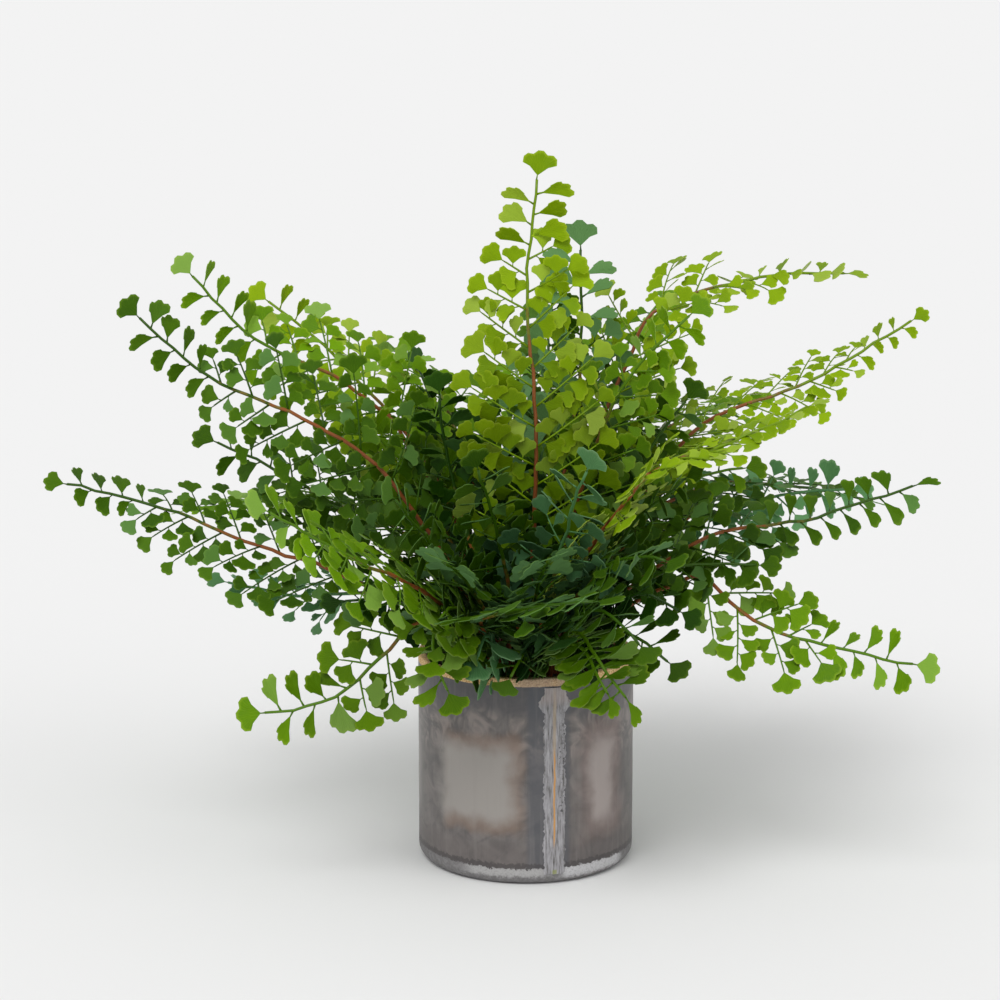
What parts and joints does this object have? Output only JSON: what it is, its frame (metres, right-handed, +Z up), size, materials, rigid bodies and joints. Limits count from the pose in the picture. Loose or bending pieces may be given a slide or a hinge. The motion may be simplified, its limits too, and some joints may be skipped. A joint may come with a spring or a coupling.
{
  "type": "potted maidenhair fern",
  "caption": "Maidenhair fern with arching fronds of small fan-shaped leaflets, growing in soil in a round grey pot with a rough side seam.",
  "frame": {"origin": "centre of the pot's flat underside", "axes": "+Z up along the pot's axis, -Y toward the viewer of the picture, +X to the viewer's right"},
  "size_m": [0.4955, 0.3726, 0.3984],
  "materials": {
    "pot": "grey metal-effect coat on tan clay, satin",
    "soil": "loose dark potting mix",
    "leaf_lime": "young yellow-green leaf, satin",
    "leaf_mid": "green leaf, satin",
    "leaf_deep": "deep green leaf, satin",
    "leaf_dark": "dark green leaf, satin",
    "leaf_blue": "pale bluish leaf underside, matt"
  },
  "bodies": {
    "root": {"pot": "pot", "soil": "soil", "frond_top": "leaf_lime", "frond_top_back": "leaf_deep", "frond_right_high": "leaf_lime", "frond_right_mid": "leaf_mid", "frond_right_arm": "leaf_lime", "frond_lime_edge": "leaf_lime", "frond_right_dark": "leaf_deep", "frond_right_dark_back": "leaf_blue", "frond_right_small": "leaf_mid", "frond_right_low": "leaf_mid", "frond_front_right": "leaf_mid", "frond_left_low": "leaf_mid", "frond_front_left": "leaf_mid", "frond_left_front": "leaf_mid", "frond_left_dark": "leaf_deep", "frond_left_low_blue": "leaf_blue", "frond_left_high": "leaf_deep", "frond_left_high_2": "leaf_mid", "frond_left_back": "leaf_lime", "frond_left_back_2": "leaf_mid", "frond_left_mid": "leaf_deep", "frond_centre_left": "leaf_dark", "frond_centre_left_2": "leaf_dark", "frond_centre_front": "leaf_blue", "frond_front_edge": "leaf_deep", "frond_front_low": "leaf_blue", "frond_rim_front": "leaf_mid", "frond_right_front_low": "leaf_dark", "frond_centre_right": "leaf_deep", "frond_centre_deep": "leaf_deep", "frond_centre_left_front": "leaf_deep", "frond_right_inner": "leaf_deep", "frond_right_inner_2": "leaf_deep", "frond_right_upright": "leaf_deep", "frond_centre_up": "leaf_dark", "frond_left_inner": "leaf_mid", "frond_left_inner_2": "leaf_deep", "frond_left_inner_low": "leaf_dark", "frond_front_centre": "leaf_deep", "frond_front_mid_right": "leaf_deep", "frond_front_mid_left": "leaf_deep", "frond_front_right_mid": "leaf_deep", "frond_front_low_right": "leaf_dark", "frond_skirt_left": "leaf_mid", "frond_skirt_right": "leaf_mid", "frond_skirt_right_2": "leaf_deep", "frond_skirt_far_left": "leaf_deep", "frond_back_right_low": "leaf_deep", "frond_back_right": "leaf_mid", "frond_back_right_high": "leaf_mid", "frond_back_low": "leaf_deep", "frond_back": "leaf_mid", "frond_back_left_high": "leaf_mid", "frond_back_left": "leaf_deep", "frond_back_left_low": "leaf_mid", "frond_back_up": "leaf_deep"}
  },
  "joints": []
}
